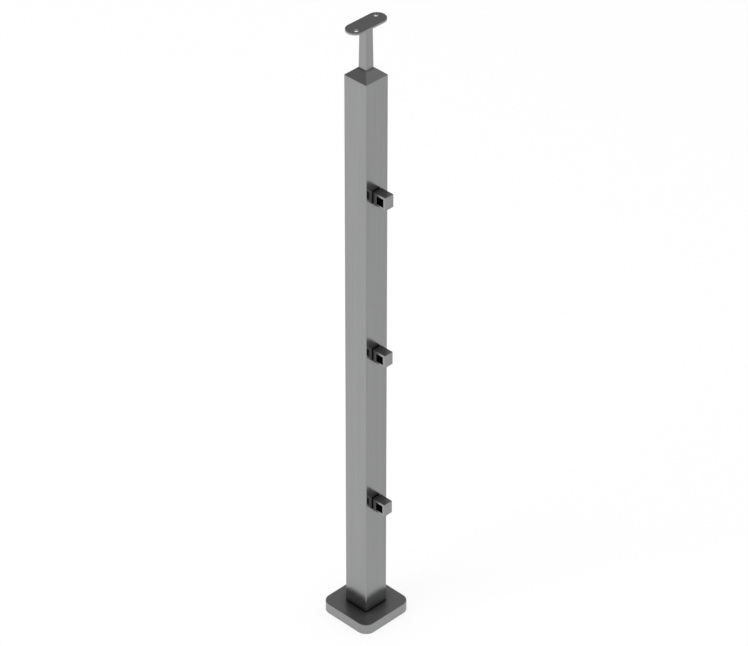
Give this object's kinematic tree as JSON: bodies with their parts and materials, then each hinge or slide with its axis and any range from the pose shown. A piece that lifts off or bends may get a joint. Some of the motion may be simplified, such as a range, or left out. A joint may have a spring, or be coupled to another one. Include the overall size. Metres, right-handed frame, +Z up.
{
  "type": "railing post",
  "caption": "Square steel railing post with a foot cover, square bar holders up one side and a screw-on saddle for the handrail.",
  "frame": {"origin": "on the tube's axis at the floor, under the foot plate", "axes": "+Z up the post, +X along the railing and its bars, bar holders on the -Y face"},
  "size_m": [0.089, 0.089, 0.9515],
  "materials": {
    "tube_steel": "satin ground lengthwise",
    "plate_steel": "mill finish",
    "cover_steel": "satin pressed sheet",
    "cast_steel": "satin ground",
    "saddle_steel": "satin ground lengthwise",
    "holder_steel": "satin ground",
    "fastener_steel": "plain turned",
    "spacer_rubber": "matt"
  },
  "bodies": {
    "post": {"post_tube": "tube_steel", "foot_plate": "plate_steel", "top_cap": "cast_steel", "saddle_stem": "cast_steel", "stem_screw": "fastener_steel", "saddle_plate": "saddle_steel", "bar_holder_1": "holder_steel", "holder_spacer_1": "spacer_rubber", "holder_screw_1": "fastener_steel", "rivet_nut_1": "fastener_steel", "grub_screw_1": "fastener_steel", "bar_holder_2": "holder_steel", "holder_spacer_2": "spacer_rubber", "holder_screw_2": "fastener_steel", "rivet_nut_2": "fastener_steel", "grub_screw_2": "fastener_steel", "bar_holder_3": "holder_steel", "holder_spacer_3": "spacer_rubber", "holder_screw_3": "fastener_steel", "rivet_nut_3": "fastener_steel", "grub_screw_3": "fastener_steel"},
    "cover": {"base_cover": "cover_steel"}
  },
  "joints": [
    {"name": "cover_slide", "type": "slide", "parent": "post", "child": "cover", "axis": [0, 0, 1], "range_m": [0, 0.173]}
  ]
}
